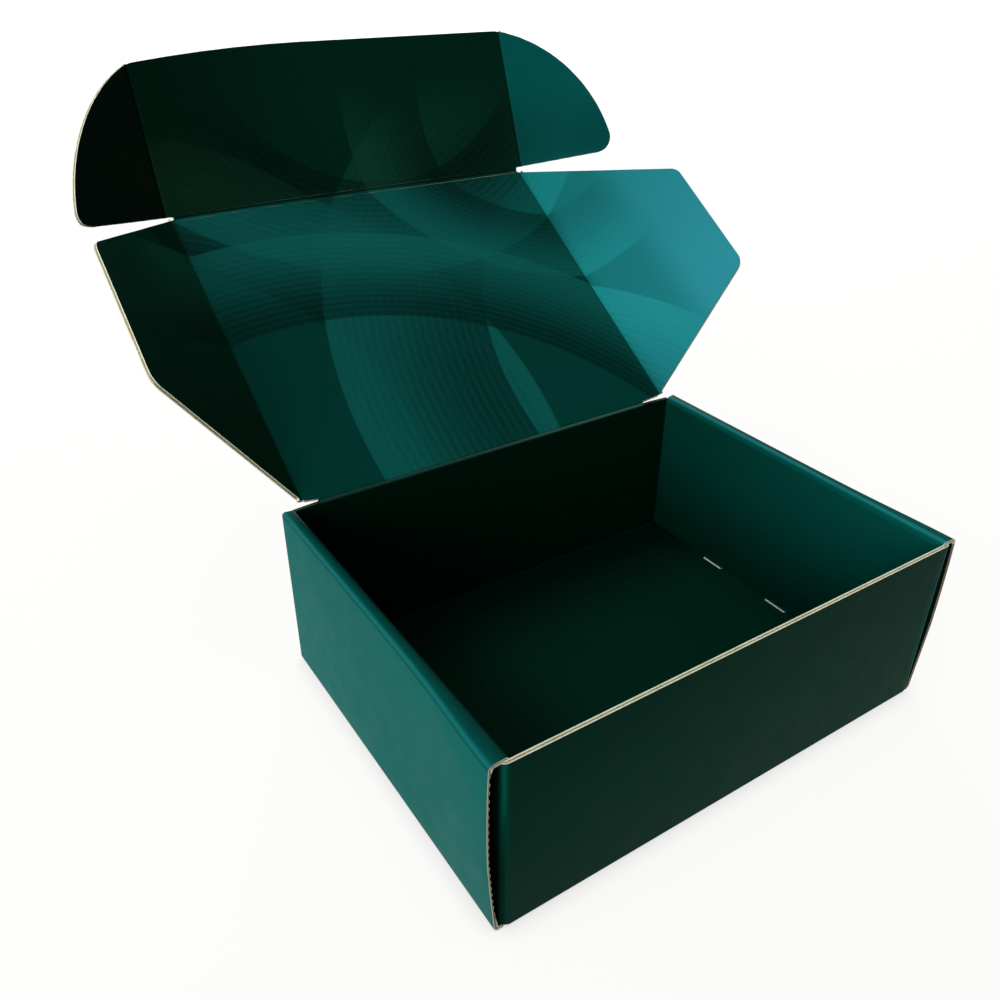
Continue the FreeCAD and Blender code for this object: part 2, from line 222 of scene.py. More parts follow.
def board(skin, place, sheet, steps, limits, rows=2, across=None, trim=True, peel=None):
    """One board. place(s, e, h) gives points at s across, e along and h above its middle plane.

    steps are the values of s, and limits(s) the lowest and highest e. The flutes run along e,
    or along s where across gives the lowest and highest e over the whole board. peel(s) is how
    far the upper liner falls short at the lowest e, which leaves the flutes' teeth in sight.
    """

    def grid(s, e, h):
        s = np.broadcast_to(s[:, None], e.shape)
        return place(s, e, np.broadcast_to(h, e.shape)), sheet(s, e)

    low, high = limits(steps)
    for phase, bottom, top, kinds in (
        (0.3, -HALF, -HALF + LINER, (OUTSIDE, RAW, RAW)),
        (1.9, HALF - LINER, HALF, (RAW, INSIDE, RAW)),
    ):
        cut = ragged(steps, phase) if trim else 0
        short = peel(steps) if peel is not None and kinds[1] == INSIDE else 0
        e = spread(low + cut + short, high - cut, rows)
        lower, flat = grid(steps, e, bottom)
        upper, flat = grid(steps, e, top)
        skin.plate(lower, upper, flat, kinds)
    if across is None:
        count = int((steps[-1] - steps[0]) / PITCH * FLUTE_POINTS)
        steps = np.linspace(steps[0] + 0.1, steps[-1] - 0.1, count)
        low, high = limits(steps)
        keep = high - low > 1
        steps, low, high = steps[keep], low[keep], high[keep]
        e = spread(low + 0.2, high - 0.2, rows)
        wave = SWING * np.sin(steps * math.tau / PITCH)[:, None]
    else:
        lines = np.arange(across[0], across[1] + 0.01, PITCH / FLUTE_POINTS)
        e = np.clip(lines[None, :], low[:, None] + 0.1, high[:, None] - 0.1)
        steps = steps.copy()
        steps[0] += 0.15
        steps[-1] -= 0.15
        wave = SWING * np.sin(e * math.tau / PITCH)
    lower, flat = grid(steps, e, wave - MEDIUM / 2)
    upper, flat = grid(steps, e, wave + MEDIUM / 2)
    skin.plate(lower, upper, flat, (FLUTE, FLUTE, FLUTE))


class Path:
    """Straight runs with rounded right-angled corners, in a plane, with the inside on the left."""

    ARC = 8

    def __init__(self, corners, radii):
        corners = [np.array(c, float) for c in corners]
        points, normals = [], []
        for i, corner in enumerate(corners):
            if i in (0, len(corners) - 1):
                ahead = corners[1] - corners[0] if i == 0 else corners[-1] - corners[-2]
                ahead = ahead / np.linalg.norm(ahead)
                points.append(corner)
                normals.append(np.array([-ahead[1], ahead[0]]))
                continue
            before = corner - corners[i - 1]
            before = before / np.linalg.norm(before)
            radius = radii[i - 1]
            middle = corner - before * radius + np.array([-before[1], before[0]]) * radius
            for k in range(self.ARC + 1):
                angle = math.atan2(before[1], before[0]) - math.pi / 2 + math.pi / 2 * k / self.ARC
                outward = np.array([math.cos(angle), math.sin(angle)])
                points.append(middle + outward * radius)
                normals.append(-outward)
        self.points, self.normals = np.array(points), np.array(normals)
        gaps = np.linalg.norm(np.diff(self.points, axis=0), axis=1)
        self.steps = np.concatenate([[0], np.cumsum(gaps)])

    def run(self, i):
        """Where straight run i starts and ends."""
        first = i * (self.ARC + 1)
        return self.steps[first], self.steps[first + 1]

    def at(self, s, h):
        found = []
        for k in range(2):
            place = np.interp(s, self.steps, self.points[:, k])
            found.append(place + h * np.interp(s, self.steps, self.normals[:, k]))
        return found


# ---------------------------------------------------------------- the tray
def tray_ends(skin):
    """The front wall, the floor with its slots, and the back wall."""
    wall = HALF_DEPTH - HALF
    path = Path([(-wall, FRONT_TOP), (-wall, HALF), (wall, HALF), (wall, BACK_TOP)], (BEND, BEND))
    floor_start, floor_end = path.run(1)
    top = path.steps[-1]
    floor_y = floor_start + wall - BEND
    steps = list(finer(path.steps, 40))
    for centre in TABS:
        for edge in (centre - SLOT_HALF, centre + SLOT_HALF):
            steps += [edge + floor_y - 0.03, edge + floor_y + 0.03]
    steps += [floor_start + 0.2, floor_end - 0.2, top - WALL_TAPER]
    steps = np.array(sorted(steps))

    def limits(s):
        reach = np.full(s.shape, BEND_START)
        on_floor = (s > floor_start + 0.1) & (s < floor_end - 0.1)
        reach[on_floor] = INNER_FACE + THICK + SLOT_GAP
        for centre in TABS:
            reach[on_floor & (np.abs(s - floor_y - centre) < SLOT_HALF)] = INNER_FACE - SLOT_GAP
        tapered = s > top - WALL_TAPER
        share = (s[tapered] - top + WALL_TAPER) / WALL_TAPER
        reach[tapered] = BEND_START + (HINGE_END - BEND_START) * share
        return -reach, reach

    def place(s, e, h):
        y, z = path.at(s, h)
        return np.stack([e, y, z], -1)

    def sheet(s, e):
        return np.stack([e, s + TRAY_ALONG], -1)

    board(skin, place, sheet, steps, limits, rows=12, across=FLUTES_ACROSS, trim=False)


def tray_side(skin, side):
    """An outer side panel, its rolled top and inner side panel, and the tabs in the floor's slots."""
    out, into = HALF_WIDTH - HALF, INNER_FACE + HALF
    start = INNER_FACE + THICK + SLOT_GAP
    corners = [(start, HALF), (out, HALF), (out, RIM - HALF), (into, RIM - HALF), (into, FLOOR_GAP)]
    path = Path(corners, (BEND, BEND, ROLL_BEND))
    panel_start, panel_end = path.run(1)

    def limits(s):
        x, z = path.at(s, 0)
        y = np.full(s.shape, SETBACK)
        rolled = (x < HALF_WIDTH - THICK) & (z > FLOOR_GAP + 1e-6) & (s > panel_end)
        y[rolled] = ROLL_END + (x[rolled] - ROLL_FROM) * ROLL_SLOPE
        return -y, y

    def place(s, e, h):
        x, z = path.at(s, h)
        bow = np.interp(z, *BOW[side]) * np.exp(-(((e + SETBACK) / BOW_DEPTH) ** 2))
        x = x + bow * np.clip((x - BOW_FROM) / BOW_FADE, 0, 1)
        return np.stack([side * x, e, z], -1)

    def sheet(s, e):
        return np.stack([side * (s + SIDE_ACROSS), e + SIDE_ALONG], -1)

    def peel(s):
        """Torn back along most of the outer panel's height, less so near the floor and the roll."""
        from_floor = np.clip((s - panel_start - 2) / 12, 0, 1)
        from_roll = np.clip((panel_end - 4 - s) / 8, 0, 1)
        return PEEL[side] * from_floor * from_roll

    board(skin, place, sheet, finer(path.steps, 12), limits, rows=30, trim=False, peel=peel)

    tab = Path([(into, FLOOR_GAP), (into, TAB_FOOT)], ())

    def place_tab(s, e, h):
        x, z = tab.at(s, h)
        return np.stack([side * x, e, z], -1)

    for centre in TABS:

        def tab_limits(s, centre=centre):
            return np.full(s.shape, centre - TAB_HALF), np.full(s.shape, centre + TAB_HALF)

        board(skin, place_tab, sheet, tab.steps, tab_limits, trim=False)


def corner_flap(skin, side, end):
    """A flap between two side panels. end is 1 for the front wall's and -1 for the back wall's."""
    wall = HALF_DEPTH - HALF
    ply = HALF_WIDTH - THICK - PLY_GAP - HALF
    path = Path([(BEND_START, -wall), (ply, -wall), (ply, CORNER_FLAP - HALF_DEPTH)], (CORNER_BEND,))
    top = FRONT_TOP if end > 0 else UNDER_ROLL

    def limits(s):
        high = np.interp(s, CORNER_DROP, [top, top - 0.2, UNDER_ROLL])
        return np.full(s.shape, FLOOR_GAP), high

    def place(s, e, h):
        x, y = path.at(s, h)
        return np.stack([side * x, end * y, e], -1)

    def sheet(s, e):
        return np.stack([side * (s + CORNER_ACROSS), e + SIDE_ALONG], -1)

    board(skin, place, sheet, finer(path.steps, 14), limits, rows=3, trim=False)


def build_tray():
    skin = Skin()
    tray_ends(skin)
    for side in (1, -1):
        tray_side(skin, side)
        for end in (1, -1):
            corner_flap(skin, side, end)
    return skin.make("folded_tray")


tray = build_tray()

# ---------------------------------------------------------------- the lid and its flaps
X = np.array([1.0, 0, 0])
DOWN, FORWARDS = np.array([0, 0, -1.0]), np.array([0, -1.0, 0])


def turned_back(angle):
    """Direction along a board, and its inner normal, at an angle from closed."""
    angle = math.radians(angle)
    along = np.array([0, -math.cos(angle), math.sin(angle)])
    inner = np.array([0, -math.sin(angle), -math.cos(angle)])
    return along, inner


LID_UP, LID_IN = turned_back(LID_ANGLE)
TUCK_UP, TUCK_IN = turned_back(LID_ANGLE - TUCK_ANGLE)
HINGE = np.array([0, HINGE_Y, HINGE_Z])
TUCK_CREASE = HINGE + LID_LENGTH * LID_UP


def folded(side, angle, inner):
    """Across direction and inner normal of a flap folded inwards by an angle at a side crease."""
    angle = math.radians(angle)
    across = side * X * math.cos(angle) + inner * math.sin(angle)
    return across, -side * X * math.sin(angle) + inner * math.cos(angle)


def droop(points, along):
    """Points of the lid or tuck flap after the sag; along is their place on the flat sheet."""
    share = np.clip((-points[..., 0] - SAG_FROM) / SAG_OVER, 0, SAG_MOST)
    amount = np.interp(along, SAG_PLACES, SAG_AMOUNTS)
    return points - (share * share * amount)[..., None] * TUCK_UP


def frame_of(origin, across, along, inner, bend=None, sag=None, swing=0.0):
    """Places s, e and h in a board's frame.

    bend lifts the board off its plane. sag is where a board that sags starts along the flat
    sheet. swing moves it back along itself, more so further across.
    """

    def place(s, e, h):
        if bend is not None:
            h = h + bend(s, e)
        e = e - s * swing
        points = origin + s[..., None] * across + e[..., None] * along + h[..., None] * inner
        return points if sag is None else droop(points, e + sag)

    return place


def rounded(corners, radii):
    """A convex outline with rounded corners, as points."""
    points = []
    corners = [np.array(c, float) for c in corners]
    for i, (corner, radius) in enumerate(zip(corners, radii)):
        if radius == 0:
            points.append(corner)
            continue
        before = corners[i - 1] - corner
        after = corners[(i + 1) % len(corners)] - corner
        before, after = before / np.linalg.norm(before), after / np.linalg.norm(after)
        half = math.acos(float(before @ after)) / 2
        reach = radius / math.tan(half)
        towards = (before + after) / np.linalg.norm(before + after)
        middle = corner + towards * radius / math.sin(half)
        a, b = corner + before * reach - middle, corner + after * reach - middle
        swing = math.acos(float(a @ b) / radius**2)
        for share in np.linspace(0, 1, 13):
            p = (a * math.sin((1 - share) * swing) + b * math.sin(share * swing)) / math.sin(swing)
            points.append(middle + p)
    return np.array(points)


def cut_limits(outline):
    """For each s, the lowest and highest e inside a convex outline of (s, e) points."""

    def limits(s):
        low, high = np.full(s.shape, 1e9), np.full(s.shape, -1e9)
        for a, b in zip(outline, np.roll(outline, -1, axis=0)):
            if abs(a[0] - b[0]) < 1e-9:
                inside = np.abs(s - a[0]) < 1e-6
                for e in (a[1], b[1]):
                    low[inside] = np.minimum(low[inside], e)
                    high[inside] = np.maximum(high[inside], e)
                continue
            share = (s - a[0]) / (b[0] - a[0])
            inside = (share > -1e-7) & (share < 1 + 1e-7)
            e = a[1] + (b[1] - a[1]) * share
            low[inside] = np.minimum(low[inside], e[inside])
            high[inside] = np.maximum(high[inside], e[inside])
        return low, high

    return limits


def flat_board(name, place, sheet, outline, rows):
    skin = Skin()
    steps = finer(np.unique(np.round(outline[:, 0], 5)), 8)
    board(skin, place, sheet, steps, cut_limits(outline), rows=rows)
    return skin.make(name)


def lid_bend(s, e):
    across = np.cos(s / LID_CURVE_HALF * math.pi / 2)
    return LID_CURVE * across * np.sin(np.clip(e / LID_LENGTH, 0, 1) * math.pi)


LID_EDGE, TUCK_EDGE = SIDE_AXIS - CREASE, EAR_AXIS - CREASE
lid = flat_board(
    "lid_board",
    frame_of(HINGE, X, LID_UP, LID_IN, lid_bend, sag=0),
    lambda s, e: np.stack([s, e], -1),
    np.array(
        [
            (-LID_EDGE, REAR_END),
            (CREASE_LEFT + 0.2, REAR_LOW),
            (CREASE_LEFT + 0.25, CREASE),
            (CREASE_RIGHT - 0.25, CREASE),
            (CREASE_RIGHT - 0.2, REAR_LOW),
            (LID_EDGE, REAR_END),
            (LID_EDGE, LID_LENGTH - CREASE),
            (-LID_EDGE, LID_LENGTH - CREASE),
        ]
    ),
    rows=17,
)
tuck = flat_board(
    "tuck_board",
    frame_of(TUCK_CREASE, X, TUCK_UP, TUCK_IN, sag=LID_LENGTH),
    lambda s, e: np.stack([s, e + LID_LENGTH], -1),
    np.array(
        [
            (-TUCK_EDGE, EAR_ROOT),
            (-LID_EDGE, CREASE),
            (LID_EDGE, CREASE),
            (TUCK_EDGE, EAR_ROOT),
            (TUCK_EDGE, TUCK_REACH),
            (-TUCK_EDGE, TUCK_REACH),
        ]
    ),
    rows=9,
)

SIDE_END = LID_LENGTH - END_GAP
side_outline = rounded(
    [
        (CREASE, END_GAP + SIDE_REAR / SIDE_REACH * CREASE),
        (SIDE_REACH, END_GAP + SIDE_REAR),
        (SIDE_REACH, SIDE_END - SIDE_FRONT),
        (CREASE, SIDE_END - SIDE_FRONT / SIDE_REACH * CREASE),
    ],
    [0, SIDE_ROUND, SIDE_ROUND, 0],
)


def ear_outline():
    """The ear's root edge, a rounded corner, and an arc back to the free end of its crease."""
    root_reach = EAR_WIDTH + EAR_INSET
    drop = (root_reach**2 - EAR_INSET**2 + EAR_ROOT**2 - TUCK_REACH**2) / (TUCK_REACH - EAR_ROOT) / 2
    radius = math.hypot(EAR_INSET, drop + TUCK_REACH)
    end = math.atan2(TUCK_REACH + drop, EAR_INSET + CREASE)
    corner_e = EAR_ROOT + EAR_ROUND
    corner_s = math.sqrt((radius - EAR_ROUND) ** 2 - (corner_e + drop) ** 2) - EAR_INSET
    touch = math.atan2(corner_e + drop, corner_s + EAR_INSET)
    points = [(CREASE, EAR_ROOT)]
    for k in range(13):
        a = -math.pi / 2 + (touch + math.pi / 2) * k / 12
        points.append((corner_s + EAR_ROUND * math.cos(a), corner_e + EAR_ROUND * math.sin(a)))
    for k in range(1, 41):
        a = touch + (end - touch) * k / 40
        points.append((radius * math.cos(a) - EAR_INSET, radius * math.sin(a) - drop))
    return np.array(points)


ear_shape = ear_outline()
SIDES = ((1, "right"), (-1, "left"))
side_frames = {side: folded(side, SIDE_ANGLE[side], LID_IN) for side, word in SIDES}
ear_frames = {side: folded(side, EAR_ANGLE[side], TUCK_IN) for side, word in SIDES}
flaps = {}
for side, word in SIDES:
    across, inner = side_frames[side]
    flaps["side_flap_" + word] = flat_board(
        f"side_board_{word}",
        frame_of(HINGE + side * SIDE_AXIS * X, across, LID_UP, inner),
        lambda s, e, side=side: np.stack([side * (SIDE_AXIS + s), e], -1),
        side_outline,
        rows=9,
    )
    across, inner = ear_frames[side]
    sag = LID_LENGTH if side < 0 else None
    flaps["tuck_ear_" + word] = flat_board(
        f"ear_board_{word}",
        frame_of(
            TUCK_CREASE + side * EAR_AXIS * X, across, TUCK_UP, inner, sag=sag, swing=EAR_SWING[side]
        ),
        lambda s, e, side=side: np.stack([side * (EAR_AXIS + s), e + LID_LENGTH], -1),
        ear_shape,
        rows=7,
    )


# ---------------------------------------------------------------- creases that bend
def crease(name, origin, axis, first, second, ends, sheet, inward=True, sags=False, lap=0.0):
    """The strip between two boards.

    first and second each give a board's direction, away from the crease, and its inner normal.
    ends are the lowest and highest place along axis. sheet(across, along) gives the place on the
    flat sheet. inward says that the boards fold towards their inner faces. lap is how far the
    strip reaches over the boards; a lapped strip has printed edges.
    """
    (a, a_in), (b, b_in) = first, second
    half = HALF + (0.02 if lap else 0)
    reach = CREASE + lap
    bisector = a_in + b_in
    bisector = bisector / np.linalg.norm(bisector)

    def convex(sign):
        found = [a * reach + a_in * half * sign, a * CREASE * 0.5 + a_in * half * sign]
        for k in range(5):
            n = a_in * (1 - k / 4) + b_in * k / 4
            found.append(n / np.linalg.norm(n) * half * sign)
        return found + [b * CREASE * 0.5 + b_in * half * sign, b * reach + b_in * half * sign]

    def concave(sign):
        # pressed in: how far from the crease, and how far towards each board
        ridge = bisector * sign
        found = [a * reach + a_in * half * sign, a * CREASE * 0.62 + a_in * half * 0.86 * sign]
        for lift, lean in ((0.5, 0.34), (0.4, 0.16), (0.36, 0), (0.4, -0.16), (0.5, -0.34)):
            toward = a if lean > 0 else b
            found.append(ridge * lift + toward * abs(lean) * CREASE)
        return found + [b * CREASE * 0.62 + b_in * half * 0.86 * sign, b * reach + b_in * half * sign]

    outer = convex(-1) if inward else concave(-1)
    inner = concave(1) if inward else convex(1)
    places = finer(np.array(ends, float), 12)
    low, high, flat = [], [], []
    for o, i, w in zip(outer, inner, np.linspace(-CREASE, CREASE, len(outer))):
        low.append([origin + axis * t + o for t in places])
        high.append([origin + axis * t + i for t in places])
        flat.append([sheet(w, t) for t in places])
    low, high, flat = np.array(low), np.array(high), np.array(flat)
    if sags:
        low, high = droop(low, flat[..., 1]), droop(high, flat[..., 1])
    skin = Skin()
    skin.plate(low, high, flat, (OUTSIDE, INSIDE, INSIDE if lap else RAW))
    thing = skin.make(name)
    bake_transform(thing)
    return thing


creases = [
    crease(
        "crease_lid", HINGE, X, (DOWN, FORWARDS), (LID_UP, LID_IN), (CREASE_LEFT, CREASE_RIGHT),
        lambda w, t: (t, w), inward=False, lap=LID_LAP,
    ),
    crease(
        "crease_tuck", TUCK_CREASE, X, (-LID_UP, LID_IN), (TUCK_UP, TUCK_IN), (-LID_EDGE, LID_EDGE),
        lambda w, t: (t, LID_LENGTH + w), sags=True,
    ),
]
for side, word in SIDES:
    creases.append(
        crease(
            f"crease_side_{word}", HINGE + side * SIDE_AXIS * X, LID_UP,
            (-side * X, LID_IN), side_frames[side], (END_GAP, SIDE_END),
            lambda w, t, side=side: (side * (SIDE_AXIS + w), t),
        )
    )
    creases.append(
        crease(
            f"crease_ear_{word}", TUCK_CREASE + side * EAR_AXIS * X, TUCK_UP,
            (-side * X, TUCK_IN), ear_frames[side], (EAR_ROOT, EAR_CREASE_END),
            lambda w, t, side=side: (side * (EAR_AXIS + w), LID_LENGTH + t),
            sags=side < 0,
        )
    )


# ---------------------------------------------------------------- materials
class Nodes:
    """A small helper that adds nodes to a material or world and joins them."""

    def __init__(self, owner):
        owner.use_nodes = True
        self.owner, self.tree = owner, owner.node_tree
        self.shader = self.tree.nodes.get("Principled BSDF")

    def add(self, kind, **values):
        node = self.tree.nodes.new(kind)
        for key, value in values.items():
            if key.startswith("in_"):
                slot = key[3:]
                slot = int(slot) if slot.isdigit() else slot.replace("_", " ")
                self.put(value, node.inputs[slot])
            else:
                setattr(node, key, value)
        return node

    def put(self, value, socket):
        if hasattr(value, "is_output"):
            self.tree.links.new(value, socket)
        else:
            socket.default_value = value

    def set(self, **values):
        """Shader inputs by name, with _ for a space."""
        for key, value in values.items():
            self.put(value, self.shader.inputs[key.replace("_", " ")])

    def math(self, operation, a, b=0.0, c=0.0):
        node = self.tree.nodes.new("ShaderNodeMath")
        node.operation = operation
        for value, socket in zip((a, b, c), node.inputs):
            self.put(value, socket)
        return node.outputs[0]

    def times(self, a, b):
        return self.math("MULTIPLY", a, b)

    def ramp(self, value, low, high, to_low=0.0, to_high=1.0):
        node = self.tree.nodes.new("ShaderNodeMapRange")
        node.interpolation_type = "SMOOTHSTEP"
        for number, socket in zip((value, low, high, to_low, to_high), node.inputs):
            self.put(number, socket)
        return node.outputs[0]

    def mix(self, share, a, b, how="MIX"):
        node = self.tree.nodes.new("ShaderNodeMix")
        node.data_type = "RGBA"
        node.blend_type = how
        self.put(share, node.inputs[0])
        self.put(a, node.inputs[6])
        self.put(b, node.inputs[7])
        return node.outputs[2]

    def tint(self, share, colour, by):
        return self.mix(share, colour, (*by, 1), "MULTIPLY")

    def noise(self, place, scale, detail):
        return self.add("ShaderNodeTexNoise", in_Vector=place, in_Scale=scale, in_Detail=detail).outputs[0]

    def window(self, value, low, high, soft=0.0008):
        """1 between low and high, with soft ends."""
        return self.times(self.ramp(value, low, low + soft), self.ramp(value, high, high - soft))

    def sheet(self):
        """Places across and along the flat sheet, in metres."""
        node = self.add("ShaderNodeUVMap", uv_map="sheet")
        parts = self.add("ShaderNodeSeparateXYZ", in_0=node.outputs[0])
        return parts.outputs[0], parts.outputs[1]

    def seen(self):
        """1 where the camera sees this directly, or in or through something else."""
        rays = self.add("ShaderNodeLightPath").outputs
        other = self.math("MAXIMUM", rays["Is Glossy Ray"], rays["Is Transmission Ray"])
        return self.math("MAXIMUM", rays["Is Camera Ray"], other)


def srgb(r, g, b):
    """A colour given as it looks on screen, 0 to 255, as linear light."""
    found = []
    for value in (r, g, b):
        value /= 255
        found.append(value / 12.92 if value <= 0.04045 else ((value + 0.055) / 1.055) ** 2.4)
    return (*found, 1.0)


# The film's shine, its green tint, and how rough it is.
GLOSS, GLOSS_TINT = 0.011, (0.3, 1.0, 0.95, 1)
FILM_ROUGH = (0.36, 0.44)

# Folds on the flat sheet, and how far the areas beside a fold lap over it, so that their soft
# ends don't leave a bright line. A faint one stays at the left ear's fold.
FRONT_FOLD, BACK_FOLD, TUCK_FOLD = -0.6255, -0.4690, 0.1568
SIDE_FOLD, EAR_FOLD, INNER_FOLD = 0.0955, 0.0978, 0.3811
TUCK_LEFT, EAR_LEFT = -0.0983, -0.0972
LAP = 0.0004

# Areas of the flat sheet: across from, to, along from, to.
FRONT_OUTSIDE = (-0.2, 0.2, -0.72, FRONT_FOLD)
FRONT_RIGHT_BEND = (0.0980, 0.0994, -0.70, FRONT_FOLD)
LEFT_ROLL = (-0.3830, -0.3770, -0.60, -0.40)
LEFT_CORNER = (-0.28, -0.1998, -0.51, -0.40)
LEFT_CORNER_FLAP = (-0.28, -0.2006, -0.51, -0.40)
LEFT_CORNER_BEND = (-0.2022, -0.2004, -0.51, -0.42)
LEFT_CORNER_WIDE = (-0.28, -0.1990, -0.51, -0.40)
RIGHT_CORNER = (0.1998, 0.28, -0.51, -0.40)
RIGHT_INNER = (INNER_FOLD, 0.47, -0.60, -0.40)
LEFT_INNER = (-0.47, -INNER_FOLD, -0.60, -0.40)
FLOOR = (-0.12, 0.12, FRONT_FOLD - LAP, BACK_FOLD + LAP)
BACK_WALL = (-0.12, 0.12, BACK_FOLD - LAP, -0.38)
FRONT_INSIDE = (-0.12, 0.12, -0.72, FRONT_FOLD + LAP)
RIGHT_PANEL_INSIDE = (0.3000, 0.3765, -0.60, -0.5600)
TUCK = (TUCK_LEFT, EAR_FOLD + LAP, TUCK_FOLD - LAP, 0.24)
LEFT_EAR = (-0.2, EAR_LEFT, TUCK_FOLD - LAP, 0.24)
RIGHT_EAR = (EAR_FOLD - LAP, 0.2, TUCK_FOLD - LAP, 0.24)
RIGHT_EAR_FOLD = (0.0972, 0.0992, TUCK_FOLD - LAP, 0.24)
LID = (-SIDE_FOLD - LAP, SIDE_FOLD + LAP, -0.01, TUCK_FOLD + LAP)
LEFT_FLAP = (-0.2, -SIDE_FOLD + LAP, -0.01, TUCK_FOLD + LAP)
RIGHT_FLAP = (SIDE_FOLD - LAP, 0.2, -0.01, TUCK_FOLD + LAP)

# Painted shade and painted light, by area, for the outside and the inside. The front wall, the
# inner walls, floor, back wall, tuck flap, ears, lid, rolls and the gaps at the front corners are
# darkened where shade falls; the bends at the front corners get painted highlights and the right-hand
# flap is lightened as painted light. A gradual change names its axis (across, along, or wide, which
# is across from the middle), where it starts and where it is complete. The tint multiplies the
# print's colour.
EVEN = None
PAINTED_SHADE_AND_LIGHT = {
    False: (
        (FRONT_OUTSIDE, EVEN, (0.7, 0.32, 0.21)),
        (FRONT_OUTSIDE, ("along", -0.660, -0.700), (0.8, 0.80, 0.76)),
        # painted highlight on the front wall's right-hand bend
        (FRONT_RIGHT_BEND, EVEN, (1.5, 2.4, 2.7)),
        (LEFT_ROLL, ("across", -0.3772, -0.3805), (0.5, 0.45, 0.42)),
        (LEFT_CORNER, ("wide", 0.2014, 0.2030), (0.3, 0.10, 0.08)),
        (LEFT_CORNER_FLAP, ("along", -0.440, -0.475), (0.5, 0.30, 0.27)),
        # painted highlight on the left front corner's bend
        (LEFT_CORNER_BEND, ("along", -0.456, -0.432), (1.5, 2.1, 2.1)),
        (LEFT_CORNER_WIDE, EVEN, (0.8, 0.40, 0.30)),
        (RIGHT_CORNER, ("wide", 0.2013, 0.2026), (0.2, 0.08, 0.06)),
        (RIGHT_INNER, EVEN, (0.8, 0.52, 0.47)),
        (RIGHT_INNER, ("along", -0.56, -0.43), (0.8, 0.70, 0.64)),
        (RIGHT_INNER, ("across", 0.400, 0.450), (0.8, 0.52, 0.45)),
        (LEFT_INNER, EVEN, (0.8, 0.50, 0.44)),
    ),
    True: (
        (FLOOR, EVEN, (0.7, 0.227, 0.153)),
        (FLOOR, ("along", -0.530, -0.478), (0.7, 0.25, 0.21)),
        (FLOOR, ("across", -0.015, -0.062), (0.7, 0.42, 0.35)),
        (RIGHT_PANEL_INSIDE, EVEN, (0.2, 0.10, 0.08)),
        (BACK_WALL, EVEN, (0.6, 0.10, 0.05)),
        (FRONT_INSIDE, EVEN, (0.8, 0.30, 0.22)),
        (TUCK, EVEN, (0.7, 0.19, 0.12)),
        (TUCK, ("across", 0.0, -0.095), (0.8, 0.50, 0.40)),
        (LEFT_EAR, EVEN, (0.3, 0.026, 0.010)),
        (RIGHT_EAR, EVEN, (0.8, 0.70, 0.70)),
        (RIGHT_EAR, ("along", 0.205, 0.165), (0.8, 0.72, 0.70)),
        (RIGHT_EAR_FOLD, EVEN, (0.4, 0.30, 0.28)),
        (LEFT_FLAP, EVEN, (0.5, 0.22, 0.14)),
        (LEFT_FLAP, ("along", 0.110, 0.020), (0.7, 0.55, 0.45)),
        (LID, EVEN, (0.6, 0.39, 0.36)),
        (RIGHT_FLAP, ("across", 0.100, 0.165), (1.4, 1.06, 1.10)),
        (RIGHT_FLAP, ("along", 0.130, 0.030), (1.5, 1.25, 1.30)),
    ),
}

# Painted light: the near edges of the floor's slots are painted pale, for the bright ground seen through
# their gaps.
SLOT_EDGE_WIDE = (0.0978, 0.0989)
SLOT_EDGES = ((-0.5208, -0.5082), (-0.5628, -0.5502))
PAINTED_SLOT_LIGHT = srgb(246, 250, 236)
# A painted highlight: a pale line along the lid's crease, stronger towards the right.
LID_HIGHLIGHT_ALONG, LID_HIGHLIGHT_ACROSS = (-0.0015, -0.0006), (-0.089, 0.0845)
LID_CREASE_HIGHLIGHT = (0.12, 0.26, 0.19, 1)
# The rolled tops are darkened as painted shade, and carry a painted highlight along one fold: from, to,
# strength.
ROLL_TOP, ROLL_SHADE = (0.3756, 0.3815), (0.85, 0.58, 0.58)
ROLL_LIGHT = ((-0.3776, -0.3759, 0.34), (0.3786, 0.3805, 0.60))
ROLL_HIGHLIGHT_COLOUR = (0.02, 0.27, 0.28, 1)
GRAIN = (0.06, 0.24, 0.19, 1)

# The inside print's sweeping bands: middle across and along the sheet, radius, half width, strength.
BANDS = (
    (-0.150, 0.020, 0.150, 0.034, 0.9),
    (0.170, 0.020, 0.190, 0.040, 0.8),
    (0.020, 0.250, 0.120, 0.030, 0.7),
    (-0.060, -0.090, 0.200, 0.026, 0.8),
    (0.110, 0.190, 0.090, 0.022, 0.7),
)
BAND_LIGHT, BAND_DARK = (0.010, 0.34, 0.32, 1), (0.0, 0.030, 0.022, 1)
BAND_STRENGTH = 0.85
# Fine lines in the bands: how close in the first band, how much closer in each next, how strong.
BAND_LINES, BAND_LINES_STEP, BAND_LINES_DEPTH = 1400.0, 160.0, 0.08
# The right-hand flaps are painted paler, as painted light where they face the lamps: the lid's, and the
# tuck flap's ear.
LIT_FLANK, LIT_FLANK_EAR = (0.015, 0.240, 0.266, 1), (0.003, 0.165, 0.160, 1)


